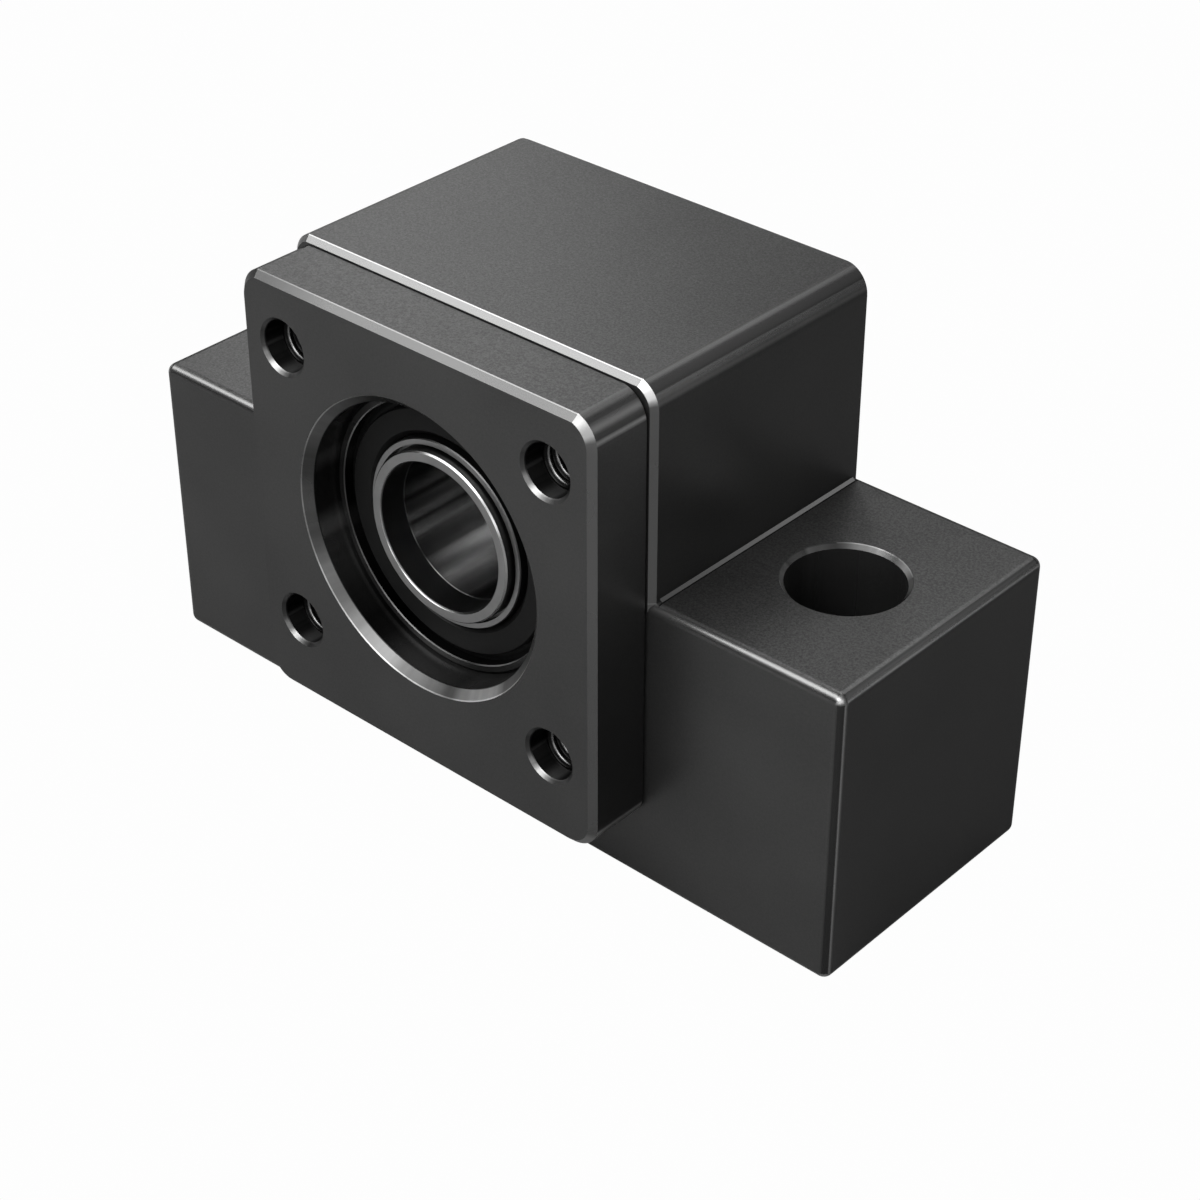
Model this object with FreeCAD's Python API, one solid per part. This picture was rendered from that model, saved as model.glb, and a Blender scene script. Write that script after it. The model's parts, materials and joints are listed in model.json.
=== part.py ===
import FreeCAD, Part
import math
import os

# End support of a ball screw: a pedestal housing with two bolt-down wings, a square lid on its front
# face, a pair of angular contact ball bearings, two collars and two seals.
# Millimetres. X runs across the wings, Y along the shaft with the lid towards -Y, Z up.
# The origin lies on the base plane, midway between the two bolt holes.

# Housing outline
block_width = 36.0
axis_height = 25.0
axis_to_block_top = 18.0
wing_length = 17.0
wing_height = 25.4
block_top_radius = 2.2
block_front_chamfer = 0.45
block_rear_chamfer = 0.4
wing_edge_radius = 0.8

# The tops of block and lid are skimmed after rounding, so each round meets its top at a slight corner
skim_corner_angle = 18.0

# Foot of the block's sides, where they meet the wings
foot_bevel = 0.22
foot_relief_width = 0.12
foot_relief_depth = 0.15

# Bolt holes of the wings
bolt_hole_radius = 4.5
bolt_hole_chamfer = 0.35
bolt_from_block = 8.0

# Bearings: two single-row angular contact bearings face to face
bearing_bore_radius = 6.0
bearing_outer_radius = 14.0
bearing_width = 8.0
ball_radius = 2.38
ball_count = 10
race_clearance = 0.1
high_shoulder = 1.4
outer_low_shoulder = 2.0
inner_low_shoulder = 1.8
ring_corner = 0.4
cage_wall = 1.5
cage_end_gap = 0.4
pocket_clearance = 0.1

# Bearing seat in the housing
seat_clearance = 0.02
ring_contact_width = 1.8
ring_relief_depth = 0.6
rear_lip_thickness = 3.6
bore_edge_chamfer = 0.5

# Seals, one in the lid and one in the rear of the housing
seal_radius = 10.7
seal_thickness = 2.4
seal_face_step = 0.65
seal_face_step_depth = 0.6
seal_lip_clearance = 0.1
seal_lip_bevel = 0.4
seal_lip_width = 0.85
seal_lip_relief = 0.9
seal_backing_width = 1.1
seal_edge_round = 0.15
rear_seal_setback = 0.2

# Lid
lid_thickness = 5.8
lid_side_inset = 0.45
lid_top_inset = 0.5
lid_below_axis = 19.2
lid_corner_radius = 2.5
lid_front_chamfer = 0.52
lid_seam_chamfer = 0.1
lid_seam_gap = 0.2
lid_seam_depth = 0.5
lid_bore_step = 0.8
lid_bore_chamfer = 0.75
lid_step_relief_width = 0.25
lid_step_relief_depth = 0.3
lid_step_edge = 0.08
lid_step_to_seal = 0.35
spigot_length = 1.2
spigot_clearance = 0.07
spigot_lip_thickness = 0.6

# Corner holes of the lid: a plain entry, then a tapped stretch that goes on into the housing
corner_hole_side_margin = 4.35
corner_hole_top_margin = 5.4
corner_entry_radius = 2.08
corner_entry_depth = 2.1
corner_entry_chamfer = 0.29
corner_thread_radius = 2.0
corner_thread_depth_in_housing = 10.0
drill_point_half_angle = 59.0

# Collars on the shaft
collar_radius = 7.7
collar_nose_radius = 6.98
collar_nose_length = 0.7
collar_groove_width = 0.25
collar_groove_depth = 1.0
collar_edge_chamfer = 0.12
collar_shoulder_edge = 0.08
collar_relief_depth = 0.06
collar_relief_length = 2.4
collar_relief_edge = 0.03
front_collar_proud = 0.3
rear_collar_proud = 2.1
rear_collar_chamfer = 0.4

# Heights and stations worked out from the sizes above
block_top = axis_height + axis_to_block_top
base_width = block_width + 2 * wing_length
bolt_x = block_width / 2 + bolt_from_block
rear_seal_seat_depth = seal_thickness + rear_seal_setback
bearing_stack = 2 * bearing_width
housing_depth = spigot_length + bearing_stack + ring_relief_depth + rear_lip_thickness + rear_seal_seat_depth
housing_front = -housing_depth / 2
housing_rear = housing_depth / 2
lid_front = housing_front - lid_thickness
bearing_start = housing_front + spigot_length
bearing_middle = bearing_start + bearing_width
bearing_end = bearing_start + bearing_stack
front_seal_back = bearing_start - ring_relief_depth - spigot_lip_thickness
front_seal_face = front_seal_back - seal_thickness
lid_step = front_seal_face - lid_step_to_seal
rear_seal_front = housing_rear - rear_seal_seat_depth
collar_shoulder = front_seal_face - front_collar_proud
collar_front = collar_shoulder - collar_nose_length
collar_relief_end = collar_front + collar_relief_length
collar_rear = housing_rear + rear_collar_proud

# Radii worked out from the sizes above
seat_radius = bearing_outer_radius + seat_clearance
ring_relief_radius = bearing_outer_radius - ring_contact_width
seal_backing_radius = seal_radius - seal_backing_width
seal_lip_radius = collar_radius + seal_lip_clearance
lid_bore_radius = seal_radius + lid_bore_step
collar_relief_radius = bearing_bore_radius + collar_relief_depth
spigot_radius = seat_radius - spigot_clearance
pitch_radius = (bearing_bore_radius + bearing_outer_radius) / 2
race_radius = ball_radius + race_clearance

# Lid outline and its holes
lid_width = block_width - 2 * lid_side_inset
lid_top = block_top - lid_top_inset
lid_bottom = axis_height - lid_below_axis
corner_hole_x = lid_width / 2 - corner_hole_side_margin
corner_hole_rise = lid_top - axis_height - corner_hole_top_margin

# How far a cutting tool runs past the face that it enters
overrun = 1.0

along_shaft = FreeCAD.Vector(0, 1, 0)
upwards = FreeCAD.Vector(0, 0, 1)
axis_foot = FreeCAD.Vector(0, 0, axis_height)


def skim_depth(radius):
    """Metal taken off above a round, so that the top left meets it at the skim corner's angle."""
    return radius * (1 - math.cos(math.radians(skim_corner_angle)))


def turned(outline):
    """Solid of revolution about the shaft axis, from (radius, y) corners in order."""
    corners = [FreeCAD.Vector(radius, y, axis_height) for radius, y in outline]
    face = Part.Face(Part.makePolygon(corners + corners[:1]))
    return face.revolve(axis_foot, along_shaft, 360)


def race_torus(ball_y):
    """Ring swept by the ball path, with the running clearance of the races."""
    centre = FreeCAD.Vector(0, ball_y, axis_height)
    return Part.makeTorus(pitch_radius, race_radius, centre, along_shaft)


def mirrored_outline(outline, middle):
    """The same (radius, y) outline turned end for end about a station on the shaft."""
    return [(radius, 2 * middle - y) for radius, y in reversed(outline)]


def edges_in_plane_y(shape, y, lowest):
    """Edges that lie in the plane y and reach above the height given as lowest."""
    box_test = 1e-4
    chosen = []
    for edge in shape.Edges:
        box = edge.BoundBox
        in_plane = abs(box.YMin - y) < box_test and abs(box.YMax - y) < box_test
        if in_plane and box.ZMax > lowest + box_test:
            chosen.append(edge)
    return chosen


def rounded_bar(half_width, bottom, top, front, rear, radius, lowest):
    """Upright bar along the shaft, rounded along those of its long edges that lie above the lowest height."""
    bar = Part.makeBox(
        2 * half_width, rear - front, top - bottom,
        FreeCAD.Vector(-half_width, front, bottom),
    )
    long_edges = []
    for edge in bar.Edges:
        box = edge.BoundBox
        if box.YLength > (rear - front) / 2 and box.ZMin > lowest:
            long_edges.append(edge)
    return bar.makeFillet(radius, long_edges)


def skimmed(body, top, front, rear, bevel):
    """The body taken down to its top in one flat cut, with the top's front edge bevelled."""
    outline = [
        (front - overrun, top - bevel - overrun),
        (front + bevel, top),
        (rear + overrun, top),
        (rear + overrun, top + overrun),
        (front - overrun, top + overrun),
    ]
    corners = [FreeCAD.Vector(-block_width, y, z) for y, z in outline]
    face = Part.Face(Part.makePolygon(corners + corners[:1]))
    return body.cut(face.extrude(FreeCAD.Vector(2 * block_width, 0, 0)))


def rounded_block():
    """Upright middle of the housing: round along its top, bevelled round its front and rear faces."""
    root = wing_height / 2
    uncut_top = block_top + skim_depth(block_top_radius)
    block = rounded_bar(
        block_width / 2, root, uncut_top, housing_front, housing_rear, block_top_radius, axis_height,
    )
    block = block.makeChamfer(block_front_chamfer, edges_in_plane_y(block, housing_front, root))
    block = block.makeChamfer(block_rear_chamfer, edges_in_plane_y(block, housing_rear, root))
    return skimmed(block, block_top, housing_front, housing_rear, block_front_chamfer)


def wing_slab():
    """Both wings as one slab that runs through under the block, with all its edges rounded."""
    slab = Part.makeBox(
        base_width, housing_depth, wing_height,
        FreeCAD.Vector(-base_width / 2, housing_front, 0),
    )
    return slab.makeFillet(wing_edge_radius, slab.Edges)


def foot_strip(side):
    """Bevelled strip along the corner between the block's side and a wing's top."""
    wall = side * block_width / 2
    toe = wall + side * foot_bevel
    inside = wall - side * foot_bevel
    start = housing_front + wing_edge_radius
    length = housing_depth - wing_edge_radius - max(wing_edge_radius, block_rear_chamfer)
    corners = [
        FreeCAD.Vector(inside, start, wing_height - foot_bevel),
        FreeCAD.Vector(toe, start, wing_height - foot_bevel),
        FreeCAD.Vector(toe, start, wing_height),
        FreeCAD.Vector(wall, start, wing_height + foot_bevel),
        FreeCAD.Vector(inside, start, wing_height + foot_bevel),
    ]
    face = Part.Face(Part.makePolygon(corners + corners[:1]))
    return face.extrude(FreeCAD.Vector(0, length, 0))


def foot_relief(side):
    """Fine groove in a wing's top, just outside the bevelled strip."""
    near = block_width / 2 + foot_bevel
    low_x = near if side > 0 else -near - foot_relief_width
    return Part.makeBox(
        foot_relief_width, housing_depth, foot_relief_depth + overrun,
        FreeCAD.Vector(low_x, housing_front, wing_height - foot_relief_depth),
    )


def bolt_hole(side):
    """Plain through hole of a wing, bevelled at both faces."""
    low = -overrun
    high = wing_height + overrun
    wide = bolt_hole_radius + bolt_hole_chamfer + overrun
    outline = [
        (0, low),
        (wide, low),
        (bolt_hole_radius, bolt_hole_chamfer),
        (bolt_hole_radius, wing_height - bolt_hole_chamfer),
        (wide, high),
        (0, high),
    ]
    centre_x = side * bolt_x
    corners = [FreeCAD.Vector(centre_x + radius, 0, z) for radius, z in outline]
    face = Part.Face(Part.makePolygon(corners + corners[:1]))
    return face.revolve(FreeCAD.Vector(centre_x, 0, 0), upwards, 360)


def bearing_seat():
    """Stepped bore of the housing: bearing seat, relief, lip and rear seal seat."""
    front = housing_front - overrun
    rear = housing_rear + overrun
    return turned([
        (0, front),
        (seat_radius + bore_edge_chamfer + overrun, front),
        (seat_radius, housing_front + bore_edge_chamfer),
        (seat_radius, bearing_end),
        (ring_relief_radius, bearing_end),
        (ring_relief_radius, bearing_end + ring_relief_depth),
        (seal_backing_radius, bearing_end + ring_relief_depth),
        (seal_backing_radius, rear_seal_front),
        (seal_radius, rear_seal_front),
        (seal_radius, housing_rear - bore_edge_chamfer),
        (seal_radius + bore_edge_chamfer + overrun, rear),
        (0, rear),
    ])


def corner_places():
    """Centres of the four corner holes, in the plane of the lid."""
    places = []
    for side in (-1, 1):
        for level in (-1, 1):
            places.append((side * corner_hole_x, axis_height + level * corner_hole_rise))
    return places


def hole_along_shaft(place, outline):
    """Turned hole parallel to the shaft, from (radius, y) corners, centred on an (x, z) place."""
    centre_x, centre_z = place
    corners = [FreeCAD.Vector(centre_x + radius, y, centre_z) for radius, y in outline]
    face = Part.Face(Part.makePolygon(corners + corners[:1]))
    return face.revolve(FreeCAD.Vector(centre_x, 0, centre_z), along_shaft, 360)


def tapped_hole_in_housing(place):
    """Blind tapped hole behind a corner hole of the lid, with the point that a drill leaves."""
    bottom = housing_front + corner_thread_depth_in_housing
    point = corner_thread_radius / math.tan(math.radians(drill_point_half_angle))
    return hole_along_shaft(place, [
        (0, housing_front - overrun),
        (corner_thread_radius, housing_front - overrun),
        (corner_thread_radius, bottom),
        (0, bottom + point),
    ])


def stepped_hole_in_lid(place):
    """Corner hole of the lid: bevelled entry, plain stretch, then the tapped stretch."""
    mouth = corner_entry_radius + corner_entry_chamfer
    return hole_along_shaft(place, [
        (0, lid_front - overrun),
        (mouth + overrun, lid_front - overrun),
        (corner_entry_radius, lid_front + corner_entry_chamfer),
        (corner_entry_radius, lid_front + corner_entry_depth),
        (corner_thread_radius, lid_front + corner_entry_depth),
        (corner_thread_radius, housing_front + overrun),
        (0, housing_front + overrun),
    ])


def make_housing():
    body = rounded_block().fuse(wing_slab())
    for side in (-1, 1):
        body = body.fuse(foot_strip(side))
    body = body.removeSplitter()
    for side in (-1, 1):
        body = body.cut(foot_relief(side))
        body = body.cut(bolt_hole(side))
    body = body.cut(bearing_seat())
    for place in corner_places():
        body = body.cut(tapped_hole_in_housing(place))
    return body


def lid_plate():
    """Square plate, bevelled round its face, with a narrow shadow gap left at the seam."""
    seam = housing_front - lid_seam_gap
    below = lid_bottom - overrun
    uncut_top = lid_top + skim_depth(lid_corner_radius)
    plate = rounded_bar(lid_width / 2, lid_bottom, uncut_top, lid_front, seam, lid_corner_radius, below)
    plate = plate.makeChamfer(lid_front_chamfer, edges_in_plane_y(plate, lid_front, below))
    plate = plate.makeChamfer(lid_seam_chamfer, edges_in_plane_y(plate, seam, below))
    plate = skimmed(plate, lid_top, lid_front, seam, lid_front_chamfer)
    pad = rounded_bar(
        lid_width / 2 - lid_seam_depth, lid_bottom + lid_seam_depth, lid_top - lid_seam_depth,
        seam - overrun, housing_front, lid_corner_radius - lid_seam_depth, below,
    )
    return plate.fuse(pad)


def lid_spigot():
    """Short round spigot that centres the lid in the housing and holds the outer rings."""
    return turned([
        (0, housing_front - overrun),
        (spigot_radius, housing_front - overrun),
        (spigot_radius, bearing_start),
        (0, bearing_start),
    ])


def lid_bore():
    """Bore of the lid: bevelled mouth, wall, undercut step, seal seat, lip and relief."""
    relief_edge = lid_bore_radius - lid_step_relief_width
    return turned([
        (0, lid_front - overrun),
        (lid_bore_radius + lid_bore_chamfer + overrun, lid_front - overrun),
        (lid_bore_radius, lid_front + lid_bore_chamfer),
        (lid_bore_radius, lid_step + lid_step_relief_depth),
        (relief_edge, lid_step + lid_step_relief_depth),
        (relief_edge, lid_step),
        (seal_radius + lid_step_edge, lid_step),
        (seal_radius, lid_step + lid_step_edge),
        (seal_radius, front_seal_back),
        (seal_backing_radius, front_seal_back),
        (seal_backing_radius, front_seal_back + spigot_lip_thickness),
        (ring_relief_radius, front_seal_back + spigot_lip_thickness),
        (ring_relief_radius, bearing_start + overrun),
        (0, bearing_start + overrun),
    ])


def make_lid():
    lid = lid_plate().fuse(lid_spigot()).removeSplitter()
    lid = lid.cut(lid_bore())
    for place in corner_places():
        lid = lid.cut(stepped_hole_in_lid(place))
    return lid


def seal_outline(face):
    """Section of the front seal: stepped rim, flat face, and a lip with a bevelled mouth."""
    back = face + seal_thickness
    face_rim = seal_radius - seal_face_step
    lip_start = face + seal_lip_bevel
    lip_end = lip_start + seal_lip_width
    return [
        (seal_lip_radius, lip_start),
        (seal_lip_radius + seal_lip_bevel, face),
        (face_rim - seal_edge_round, face),
        (face_rim, face + seal_edge_round),
        (face_rim, face + seal_face_step_depth),
        (seal_radius, face + seal_face_step_depth),
        (seal_radius, back),
        (seal_lip_radius + seal_lip_relief, back),
        (seal_lip_radius, lip_end),
    ]


def make_front_seal():
    return turned(seal_outline(front_seal_face))


def make_rear_seal():
    middle = rear_seal_front + seal_thickness / 2
    front_facing = seal_outline(rear_seal_front)
    return turned(mirrored_outline(front_facing, middle))


def make_front_collar():
    """Sleeve with a narrow nose, relieved inside, and a face groove behind the nose's end."""
    groove_outer = collar_nose_radius + collar_groove_width
    groove_floor = collar_shoulder + collar_groove_depth
    return turned([
        (collar_relief_radius, collar_front + collar_edge_chamfer),
        (collar_relief_radius + collar_edge_chamfer, collar_front),
        (collar_nose_radius - collar_edge_chamfer, collar_front),
        (collar_nose_radius, collar_front + collar_edge_chamfer),
        (collar_nose_radius, groove_floor),
        (groove_outer, groove_floor),
        (groove_outer, collar_shoulder),
        (collar_radius - collar_shoulder_edge, collar_shoulder),
        (collar_radius, collar_shoulder + collar_shoulder_edge),
        (collar_radius, bearing_start),
        (bearing_bore_radius, bearing_start),
        (bearing_bore_radius, collar_relief_end + collar_relief_edge),
        (bearing_bore_radius + collar_relief_edge, collar_relief_end),
        (collar_relief_radius, collar_relief_end),
    ])


def make_rear_collar():
    """Plain sleeve that stands a little proud of the housing's rear face."""
    return turned([
        (bearing_bore_radius, bearing_end),
        (collar_radius, bearing_end),
        (collar_radius, collar_rear - rear_collar_chamfer),
        (collar_radius - rear_collar_chamfer, collar_rear),
        (bearing_bore_radius + collar_edge_chamfer, collar_rear),
        (bearing_bore_radius, collar_rear - collar_edge_chamfer),
    ])


def outer_ring_outline(start):
    """Section of an outer ring before its race is cut: high shoulder in front, low behind."""
    end = start + bearing_width
    middle = start + bearing_width / 2
    high = pitch_radius + high_shoulder
    low = pitch_radius + outer_low_shoulder
    return [
        (high, start),
        (bearing_outer_radius - ring_corner, start),
        (bearing_outer_radius, start + ring_corner),
        (bearing_outer_radius, end - ring_corner),
        (bearing_outer_radius - ring_corner, end),
        (low, end),
        (low, middle),
        (high, middle),
    ]


def inner_ring_outline(start):
    """Section of an inner ring before its race is cut: low shoulder in front, high behind."""
    end = start + bearing_width
    middle = start + bearing_width / 2
    low = pitch_radius - inner_low_shoulder
    high = pitch_radius - high_shoulder
    return [
        (bearing_bore_radius, start),
        (low, start),
        (low, middle),
        (high, middle),
        (high, end),
        (bearing_bore_radius, end),
    ]


def make_ring(outline, ball_y):
    """A turned bearing ring with the ball race ground into it."""
    return turned(outline).cut(race_torus(ball_y))


def ball_angles():
    return [360.0 * index / ball_count for index in range(ball_count)]


def make_balls(ball_y):
    """All balls of one bearing, in order round the shaft."""
    balls = []
    for angle in ball_angles():
        across = pitch_radius * math.sin(math.radians(angle))
        rise = pitch_radius * math.cos(math.radians(angle))
        centre = FreeCAD.Vector(across, ball_y, axis_height + rise)
        balls.append(Part.makeSphere(ball_radius, centre, along_shaft))
    return balls


def make_cage(ball_y):
    """Window cage: a thin ring with a round pocket drilled through it for each ball."""
    half_width = bearing_width / 2 - cage_end_gap
    inside = pitch_radius - cage_wall / 2
    outside = pitch_radius + cage_wall / 2
    ring = turned([
        (inside, ball_y - half_width),
        (outside, ball_y - half_width),
        (outside, ball_y + half_width),
        (inside, ball_y + half_width),
    ])
    pocket_start = FreeCAD.Vector(0, ball_y, axis_height)
    for angle in ball_angles():
        turn = math.radians(angle)
        outwards = FreeCAD.Vector(math.sin(turn), 0, math.cos(turn))
        pocket = Part.makeCylinder(
            ball_radius + pocket_clearance, outside + overrun, pocket_start, outwards
        )
        ring = ring.cut(pocket)
    return ring


def bearing_pieces(place, start, turned_round):
    """The nodes of one bearing, with its open side turned round where asked."""
    middle = start + bearing_width / 2
    outer = outer_ring_outline(start)
    inner = inner_ring_outline(start)
    if turned_round:
        outer = mirrored_outline(outer, middle)
        inner = mirrored_outline(inner, middle)
    pieces = {
        place + "_outer_ring": make_ring(outer, middle),
        place + "_inner_ring": make_ring(inner, middle),
        place + "_cage": make_cage(middle),
    }
    for number, ball in enumerate(make_balls(middle), start=1):
        pieces[f"{place}_ball_{number:02d}"] = ball
    return pieces


def all_pieces():
    pieces = {
        "housing": make_housing(),
        "retaining_lid": make_lid(),
        "front_seal": make_front_seal(),
        "rear_seal": make_rear_seal(),
        "front_collar": make_front_collar(),
        "rear_collar": make_rear_collar(),
    }
    pieces.update(bearing_pieces("front", bearing_start, False))
    pieces.update(bearing_pieces("rear", bearing_middle, True))
    return pieces


os.makedirs("parts", exist_ok=True)
for node, shape in all_pieces().items():
    shape.exportStep("parts/" + node + ".step")
    solids = len(shape.Solids)
    print(f"{node}: {solids} solid(s), valid {shape.isValid()}, volume {shape.Volume:.2f} mm3")
print(f"overall {base_width:.2f} x {collar_rear - lid_front:.2f} x {block_top:.2f} mm")
print(f"housing depth {housing_depth:.2f}, length over collars {collar_rear - collar_front:.2f}")
print(f"corner holes at x {corner_hole_x:.3f}, rise {corner_hole_rise:.3f}, bolt holes at x {bolt_x:.3f}")
print(f"lid front at y {lid_front:.3f}, collar from y {collar_front:.3f} to {collar_rear:.3f}")
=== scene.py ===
import json
import math

import bpy
import numpy as np
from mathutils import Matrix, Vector


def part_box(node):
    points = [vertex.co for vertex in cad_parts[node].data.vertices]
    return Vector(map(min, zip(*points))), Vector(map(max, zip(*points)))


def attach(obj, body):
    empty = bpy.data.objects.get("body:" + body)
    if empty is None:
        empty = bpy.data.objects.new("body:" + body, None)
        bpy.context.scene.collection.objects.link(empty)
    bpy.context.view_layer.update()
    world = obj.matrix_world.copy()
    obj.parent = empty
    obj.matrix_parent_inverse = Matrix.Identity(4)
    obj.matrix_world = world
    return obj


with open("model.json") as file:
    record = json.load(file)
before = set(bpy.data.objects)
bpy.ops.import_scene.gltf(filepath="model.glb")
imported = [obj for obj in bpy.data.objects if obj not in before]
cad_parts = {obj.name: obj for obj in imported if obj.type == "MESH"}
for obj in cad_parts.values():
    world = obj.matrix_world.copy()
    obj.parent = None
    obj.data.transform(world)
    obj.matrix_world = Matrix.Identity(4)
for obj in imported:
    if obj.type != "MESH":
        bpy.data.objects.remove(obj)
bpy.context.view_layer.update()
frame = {"nodes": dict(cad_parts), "record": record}
nodes = frame["nodes"]
print("frame loaded with", len(nodes), "nodes")

mm = 0.001        # the scene is in metres, sizes below are in millimetres
mounts = {mount["name"]: mount for mount in frame["record"]["mounts"]}
shaftHeight = mounts["shaft_bore"]["pos_m"][2] / mm
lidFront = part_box("retaining_lid")[0].y / mm
lidHoles = mounts["lid_holes"]["dims"]
baseBolts = mounts["base_bolts"]["dims"]


# Node helpers

def newMaterial(name):
    # a material with one shader on its surface
    material = bpy.data.materials.new(name)
    material.use_nodes = True
    tree = material.node_tree
    tree.nodes.clear()
    output = tree.nodes.new("ShaderNodeOutputMaterial")
    shader = tree.nodes.new("ShaderNodeBsdfPrincipled")
    tree.links.new(shader.outputs["BSDF"], output.inputs["Surface"])
    return material, tree, shader


def addNode(tree, kind, inputs=(), **settings):
    # a node whose inputs are either linked to an output or set to a value
    node = tree.nodes.new(kind)
    for name, value in settings.items():
        setattr(node, name, value)
    for socket, value in dict(inputs).items():
        if isinstance(value, bpy.types.NodeSocket):
            tree.links.new(value, node.inputs[socket])
        else:
            node.inputs[socket].default_value = value
    return node


def mathNode(tree, operation, first, second=0.0, third=1.0):
    # one operation on up to three values; MULTIPLY_ADD is first x second + third
    return addNode(tree, "ShaderNodeMath", {0: first, 1: second, 2: third}, operation=operation).outputs[0]


def product(tree, first, *others):
    # first x each of the others
    for other in others:
        first = mathNode(tree, "MULTIPLY", first, other)
    return first


def ramp(tree, value, limits, tones=(0.0, 1.0)):
    # the first tone up to the first limit, the second from the second limit on, and a straight line between
    return addNode(tree, "ShaderNodeMapRange", {
        "Value": value,
        "From Min": limits[0], "From Max": limits[1],
        "To Min": tones[0], "To Max": tones[1],
    }).outputs["Result"]


def blend(tree, mask, first, second):
    # first x (1 - mask) + second x mask
    return ramp(tree, mask, (0.0, 1.0), (first, second))


def within(tree, value, limit, blur=0.05):
    # 1 below the limit, 0 above it
    return ramp(tree, value, (limit, limit + blur), (1.0, 0.0))


def millimetres(tree):
    # object coordinates in millimetres, moved so that the shaft axis is the y axis
    coordinates = addNode(tree, "ShaderNodeTexCoord").outputs["Object"]
    return addNode(tree, "ShaderNodeMapping", {
        "Vector": coordinates,
        "Scale": (1 / mm, 1 / mm, 1 / mm),
        "Location": (0.0, 0.0, -shaftHeight),
    }).outputs["Vector"]


def noise(tree, vector, scale, detail, roughness, stretch=(1.0, 1.0, 1.0)):
    # smooth noise round 0.5: scale is the number of grains in each unit of the vector
    stretched = addNode(tree, "ShaderNodeMapping", {"Vector": vector, "Scale": stretch}).outputs["Vector"]
    return addNode(tree, "ShaderNodeTexNoise", {
        "Vector": stretched, "Scale": scale, "Detail": detail, "Roughness": roughness,
    }).outputs["Fac"]


def separate(tree, vector):
    # the vector's x, y and z
    outputs = addNode(tree, "ShaderNodeSeparateXYZ", {"Vector": vector}).outputs
    return outputs["X"], outputs["Y"], outputs["Z"]


def distance(tree, first, second):
    # square root of first squared plus second squared
    flat = addNode(tree, "ShaderNodeCombineXYZ", {"X": first, "Y": second}).outputs["Vector"]
    return addNode(tree, "ShaderNodeVectorMath", {0: flat}, operation="LENGTH").outputs["Value"]


def turnedCoordinate(tree, place):
    # (distance from the shaft axis, y, 0): the same all the way round, as a lathe tool leaves a surface
    x, y, z = separate(tree, place)
    radius = distance(tree, x, z)
    turned = addNode(tree, "ShaderNodeCombineXYZ", {"X": radius, "Y": y}).outputs["Vector"]
    return turned, radius


def roundTheShaft(tree, place):
    # the direction from the shaft axis, a unit vector that is the same at every depth along the shaft
    acrossShaft = {0: place, 1: (1.0, 0.0, 1.0)}
    flat = addNode(tree, "ShaderNodeVectorMath", acrossShaft, operation="MULTIPLY").outputs["Vector"]
    return addNode(tree, "ShaderNodeVectorMath", {0: flat}, operation="NORMALIZE").outputs["Vector"]


def towards(tree, first, second, degrees):
    # cosine of the angle between the direction (first, second) and the given one: 0 degrees is the first axis
    flat = addNode(tree, "ShaderNodeCombineXYZ", {"X": first, "Y": second}).outputs["Vector"]
    direction = addNode(tree, "ShaderNodeVectorMath", {0: flat}, operation="NORMALIZE").outputs["Vector"]
    aim = (math.cos(math.radians(degrees)), math.sin(math.radians(degrees)), 0.0)
    inputs = {0: direction, 1: aim}
    return addNode(tree, "ShaderNodeVectorMath", inputs, operation="DOT_PRODUCT").outputs["Value"]


def toneTowards(tree, first, second, look, name):
    # 1, and the named tone where the direction (first, second) comes close to the named angle
    nearness = towards(tree, first, second, look[name + "At"])
    return ramp(tree, nearness, look[name + "Range"], (1.0, look[name]))


def fromHoleAxis(tree, value, offset):
    # signed distance from the nearer of two hole axes that lie at plus and minus the offset
    axis = mathNode(tree, "MULTIPLY", mathNode(tree, "SIGN", value), offset)
    return mathNode(tree, "SUBTRACT", value, axis)


def fromCornerHole(tree, x, z):
    # offsets sideways and upwards from the axis of the nearest corner hole
    aside = fromHoleAxis(tree, x, lidHoles["spacing_x_mm"] / 2)
    above = fromHoleAxis(tree, z, lidHoles["spacing_y_mm"] / 2)
    return aside, above


def scaleColour(tree, colour, gain):
    # colour x gain
    inputs = {0: colour, "Scale": gain}
    return addNode(tree, "ShaderNodeVectorMath", inputs, operation="SCALE").outputs["Vector"]


def mixColour(tree, factor, first, second):
    # first x (1 - factor) + second x factor
    inputs = {"Factor": factor, 6: first, 7: second}
    return addNode(tree, "ShaderNodeMix", inputs, data_type="RGBA").outputs[2]


def bumpNode(tree, height, strength, depth):
    # the normal, tilted by the slope of height x depth
    inputs = {"Height": height, "Strength": strength, "Distance": depth * mm}
    return addNode(tree, "ShaderNodeBump", inputs).outputs["Normal"]


# Black oxide steel of the housing and the lid

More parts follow.
